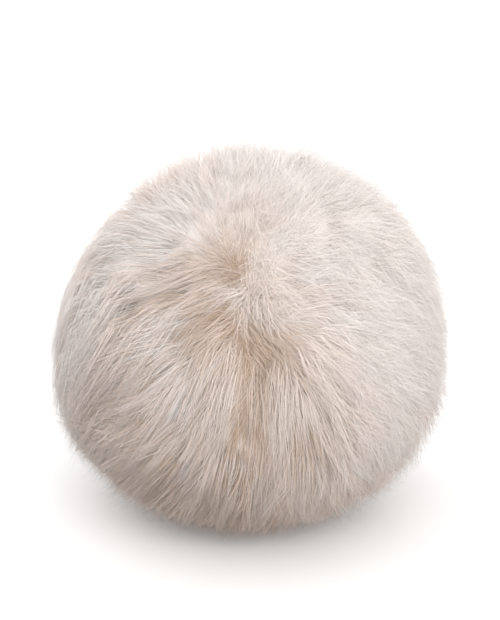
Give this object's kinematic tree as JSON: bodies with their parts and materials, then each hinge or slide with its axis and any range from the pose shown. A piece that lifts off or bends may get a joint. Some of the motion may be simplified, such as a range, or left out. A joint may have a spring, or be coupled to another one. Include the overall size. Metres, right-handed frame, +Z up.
{
  "type": "pom pom",
  "caption": "Round fluffy fake-fur pom pom standing on the sew-on press stud fixed under it.",
  "frame": {"origin": "on the surface that the ball stands on, at the middle of the stud knob's flat end", "axes": "+Z up through the middle of the ball, -Y towards the front with the crown of the pile, +X to the right seen from the front"},
  "size_m": [0.1197, 0.1185, 0.1084],
  "materials": {
    "fur_pile": "long soft fake fur, warm off-white with tan hollows",
    "backing_cloth": "cream felted cloth",
    "dark_bronze": "dark antique bronze plate, rubbed at the rolled edge",
    "antique_brass": "antique brass, brighter on the head",
    "spring_wire": "dark bronze wire",
    "thread": "greyish white sewing thread"
  },
  "bodies": {
    "root": {"fur": "fur_pile", "backing_patch": "backing_cloth", "stud_plate": "dark_bronze", "stud_knob": "antique_brass", "spring_left": "spring_wire", "spring_right": "spring_wire", "stitch_back": "thread", "stitch_left": "thread", "stitch_front": "thread", "stitch_right": "thread"}
  },
  "joints": []
}
